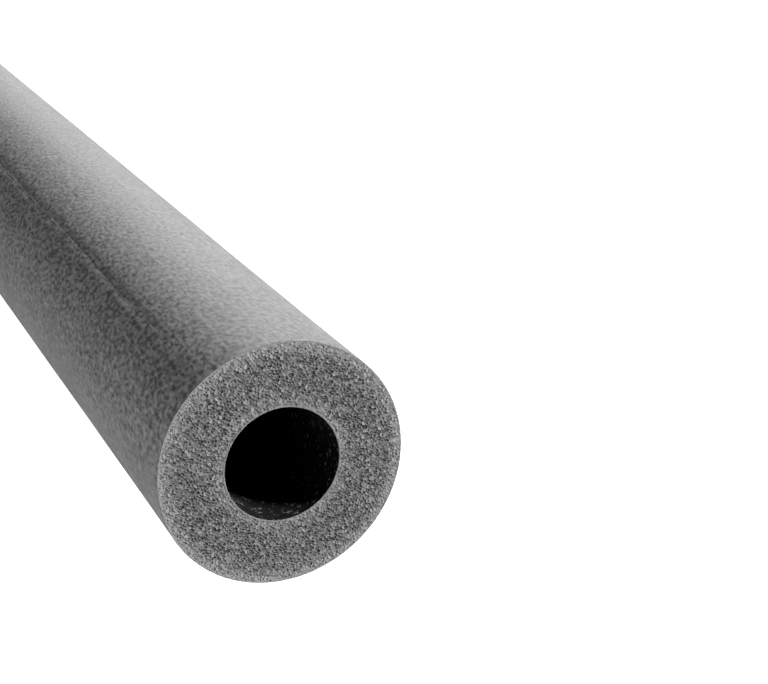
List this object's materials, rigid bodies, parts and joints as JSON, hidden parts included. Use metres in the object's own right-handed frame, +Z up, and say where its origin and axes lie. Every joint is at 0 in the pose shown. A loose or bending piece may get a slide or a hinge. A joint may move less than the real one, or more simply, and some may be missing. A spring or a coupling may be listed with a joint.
{
  "type": "pipe insulation lagging",
  "caption": "Straight length of hollow foam tube that slips over a pipe to insulate it, with a fine tear line along its skin.",
  "frame": {"origin": "on the floor under the middle of the tube, which lies on its side", "axes": "+Z up, +Y along the tube away from the end that the picture shows, +X across it to the right; the tear line is on the upper -X side, 39 degrees from the top"},
  "size_m": [0.049, 1, 0.0489],
  "materials": {
    "grey_foam": "matte"
  },
  "bodies": {
    "root": {"foam_tube": "grey_foam"}
  },
  "joints": []
}
